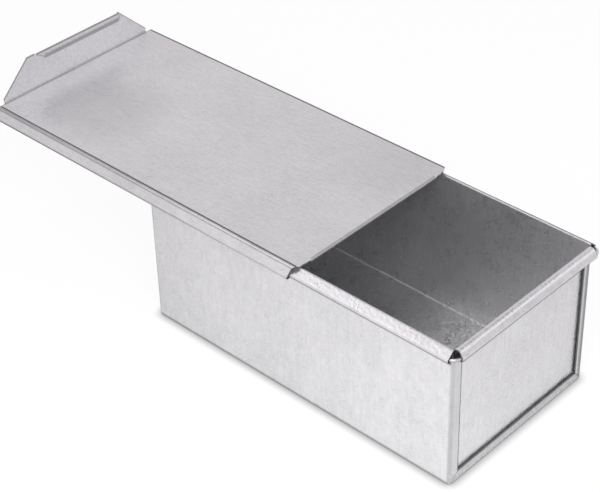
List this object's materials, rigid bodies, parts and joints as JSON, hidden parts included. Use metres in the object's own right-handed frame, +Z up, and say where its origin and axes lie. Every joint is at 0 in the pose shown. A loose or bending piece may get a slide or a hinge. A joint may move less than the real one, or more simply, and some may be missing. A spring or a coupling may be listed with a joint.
{
  "type": "pullman loaf pan",
  "caption": "Straight-sided folded steel loaf pan with rolled wire rims and a flat lid that slides along them, with a turned-up trapezoid grip.",
  "frame": {"origin": "middle of the pan's flat underside", "axes": "+X along the pan, away from the end that the lid is drawn out over; +Y across the pan; +Z up"},
  "size_m": [0.3897, 0.143, 0.1292],
  "materials": {
    "pan_steel": "satin coated sheet steel",
    "end_steel": "satin coated sheet steel",
    "wire_steel": "drawn steel wire",
    "lid_steel": "satin coated sheet steel"
  },
  "bodies": {
    "pan": {"pan_body": "pan_steel", "front_end_wall": "end_steel", "rear_end_wall": "end_steel", "rim_wire": "wire_steel"},
    "lid": {"sliding_lid": "lid_steel"}
  },
  "joints": [
    {"name": "lid_slide", "type": "slide", "parent": "pan", "child": "lid", "axis": [1, 0, 0], "range_m": [-0.137, 0.1175]}
  ]
}
